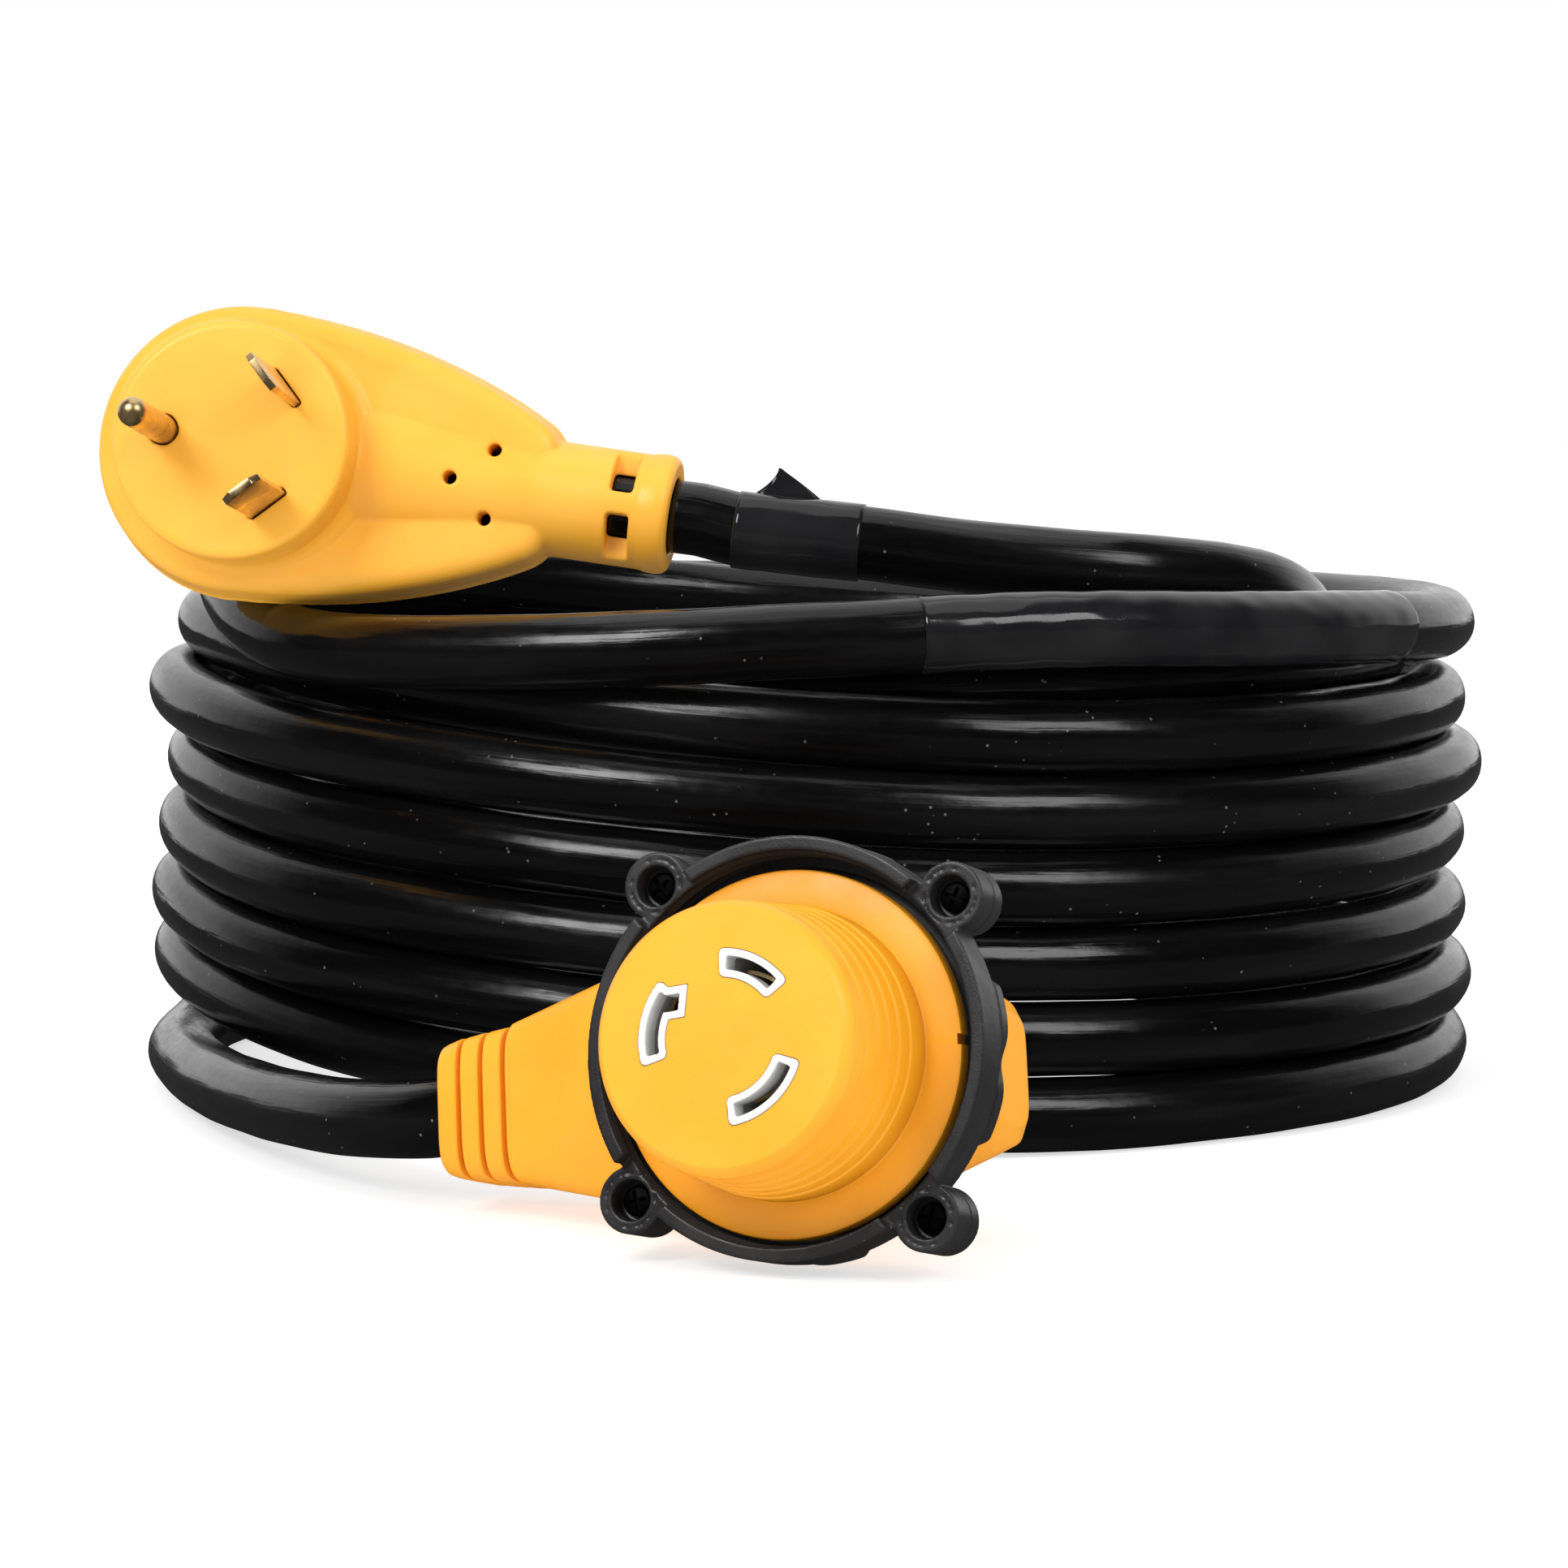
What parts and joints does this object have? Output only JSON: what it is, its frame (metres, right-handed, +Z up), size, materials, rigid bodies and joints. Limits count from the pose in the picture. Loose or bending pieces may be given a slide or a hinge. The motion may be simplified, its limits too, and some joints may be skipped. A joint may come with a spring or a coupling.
{
  "type": "shore power cord",
  "caption": "Coiled shore power cord with a side-exit bladed plug, and a right-angle twist-lock connector with a threaded locking ring.",
  "frame": {"origin": "centre of the whole object's box, at the floor that the coil lies on", "axes": "+Z up along the coil's axis, -Y towards the front, where the connector lies and both contact faces look, +X to the right seen from there"},
  "size_m": [0.3061, 0.4608, 0.1771],
  "materials": {
    "yellow_overmold": "satin moulded yellow PVC with a fine mould texture and parting lines",
    "cable_jacket": "semi-gloss black PVC jacket with faint extrusion lines",
    "white_core": "white moulded thermoplastic",
    "contact_metal": "plain stamped and turned brass, lightly brushed",
    "ring_plastic": "black moulded plastic, glossy sides and a matte front rim",
    "screw_steel": "black oxide steel",
    "green_insulation": "green PVC insulation",
    "black_insulation": "black PVC insulation",
    "white_insulation": "white PVC insulation",
    "label_film": "glossy black wrap-around film, blank"
  },
  "bodies": {
    "cord": {"plug_overmold": "yellow_overmold", "plug_contact_core": "white_core", "plug_ground_pin": "contact_metal", "plug_line_blade": "contact_metal", "plug_neutral_blade": "contact_metal", "plug_ground_wire": "green_insulation", "plug_line_wire": "black_insulation", "plug_neutral_wire": "white_insulation", "plug_jacket_end": "cable_jacket", "plug_finger_handle": "yellow_overmold", "connector_overmold": "yellow_overmold", "connector_contact_carrier": "white_core", "connector_line_contact": "contact_metal", "connector_ground_contact": "contact_metal", "connector_neutral_contact": "contact_metal", "connector_line_wire": "black_insulation", "connector_ground_wire": "green_insulation", "connector_neutral_wire": "white_insulation", "connector_jacket_end": "cable_jacket", "cable_plug_lead": "cable_jacket", "cable_coil": "cable_jacket", "cable_connector_lead": "cable_jacket", "label_sleeve": "label_film", "label_corner": "label_film"},
    "locking_ring": {"ring_threaded_front": "ring_plastic", "ring_rear_retainer": "ring_plastic", "ring_screw_1": "screw_steel", "ring_screw_2": "screw_steel", "ring_screw_3": "screw_steel", "ring_screw_4": "screw_steel"}
  },
  "joints": [
    {"name": "ring_spin", "type": "hinge", "parent": "cord", "child": "locking_ring", "pos_m": [-0.0041, -0.19235, 0.0399], "axis": [-0.3812, -0.898, 0.2198], "continuous": true}
  ]
}
